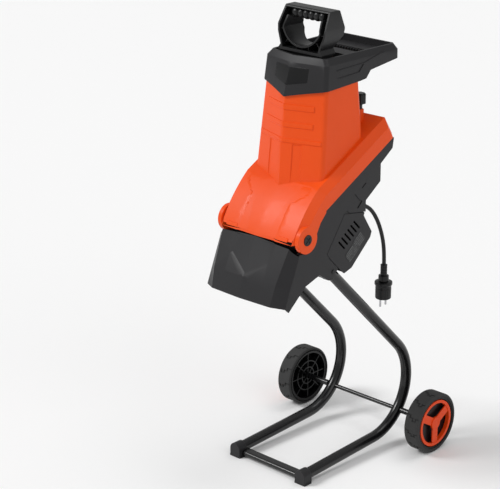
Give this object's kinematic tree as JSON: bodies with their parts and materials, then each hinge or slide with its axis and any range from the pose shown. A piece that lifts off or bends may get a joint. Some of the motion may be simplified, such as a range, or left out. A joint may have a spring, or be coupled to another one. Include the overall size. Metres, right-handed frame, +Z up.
{
  "type": "electric garden shredder",
  "caption": "Electric wood chipper with a tilting feed tower, push-down plunger and discharge hood on a two-wheeled bent-tube stand.",
  "frame": {"origin": "ground, in the middle of the machine's footprint", "axes": "+Z up, -Y towards the discharge hood, +X to the machine's right seen from behind the hood's nose"},
  "size_m": [0.432, 0.5003, 1.04],
  "materials": {
    "orange_plastic": "satin bright orange moulding",
    "dark_plastic": "textured dark grey moulding",
    "black_plastic": "semi-gloss black moulding",
    "black_tube": "gloss black powder coat",
    "steel": "machined steel",
    "cast": "blackened steel",
    "alloy": "cast alloy",
    "tyre_rubber": "matt moulded tread",
    "soft_rubber": "matt black rubber",
    "copper_core": "wound copper and laminations",
    "red_plastic": "red moulding",
    "plate": "plain printed plate"
  },
  "bodies": {
    "base": {"axle_rod": "steel", "axle_spacers": "dark_plastic", "cord_gland": "black_plastic", "crossbar": "black_tube", "discharge_hood": "dark_plastic", "left_axle_clip": "steel", "left_foot_cap": "black_plastic", "left_frame_tube": "black_tube", "lower_bearing": "steel", "lower_housing": "dark_plastic", "motor_can": "cast", "motor_cover": "dark_plastic", "motor_plate": "alloy", "pivot_pins": "cast", "plug_body": "black_plastic", "plug_pins": "steel", "power_cord": "soft_rubber", "rating_plate": "plate", "reset_collar": "dark_plastic", "right_axle_clip": "steel", "right_foot_cap": "black_plastic", "right_frame_tube": "black_tube", "stator_core": "copper_core", "strut_screws": "steel", "switch_bezel": "dark_plastic", "upper_bearing": "steel"},
    "left_wheel": {"left_tyre": "tyre_rubber", "left_wheel_core": "dark_plastic", "left_hub_cover": "orange_plastic"},
    "right_wheel": {"right_tyre": "tyre_rubber", "right_wheel_core": "dark_plastic", "right_hub_cover": "orange_plastic"},
    "hopper": {"hopper_casing": "orange_plastic", "hopper_collar": "dark_plastic", "badge_plate": "black_plastic", "splash_guard": "soft_rubber", "feed_plate": "cast", "anvil_plate": "steel"},
    "knob": {"locking_knob": "black_plastic", "locking_stud": "steel"},
    "plunger": {"plunger_grip": "black_plastic", "plunger_paddle": "black_plastic"},
    "rotor": {"spindle_shaft": "steel", "rotor_core": "copper_core", "cooling_fan": "black_plastic", "blade_disc": "cast", "cutter_blades": "steel", "blade_screws": "steel", "spindle_bolt": "steel"},
    "rocker": {"switch_rocker": "red_plastic"},
    "reset": {"reset_button": "red_plastic"}
  },
  "joints": [
    {"name": "left_wheel_spin", "type": "hinge", "parent": "base", "child": "left_wheel", "pos_m": [-0.196, 0.179, 0.071], "axis": [1, 0, 0], "continuous": true},
    {"name": "right_wheel_spin", "type": "hinge", "parent": "base", "child": "right_wheel", "pos_m": [0.196, 0.179, 0.071], "axis": [1, 0, 0], "continuous": true},
    {"name": "hopper_tilt", "type": "hinge", "parent": "base", "child": "hopper", "pos_m": [0, -0.163, 0.58], "axis": [1, 0, 0], "range_deg": [0, 40]},
    {"name": "plunger_lift", "type": "slide", "parent": "hopper", "child": "plunger", "axis": [0, 0, 1], "range_m": [0, 0.18]},
    {"name": "knob_turn", "type": "hinge", "parent": "hopper", "child": "knob", "pos_m": [0.05, 0.076, 0.808], "axis": [0, 0, 1], "continuous": true},
    {"name": "spindle_spin", "type": "hinge", "parent": "base", "child": "rotor", "pos_m": [0, -0.06415, 0.65313], "axis": [0, -0.4695, 0.8829], "continuous": true},
    {"name": "switch_rock", "type": "hinge", "parent": "base", "child": "rocker", "pos_m": [-0.042, 0.072, 0.676], "axis": [1, 0, 0], "range_deg": [-7, 7]},
    {"name": "reset_press", "type": "slide", "parent": "base", "child": "reset", "axis": [0, -1, 0], "range_m": [0, 0.0025], "stiffness_N_per_m": 600}
  ]
}
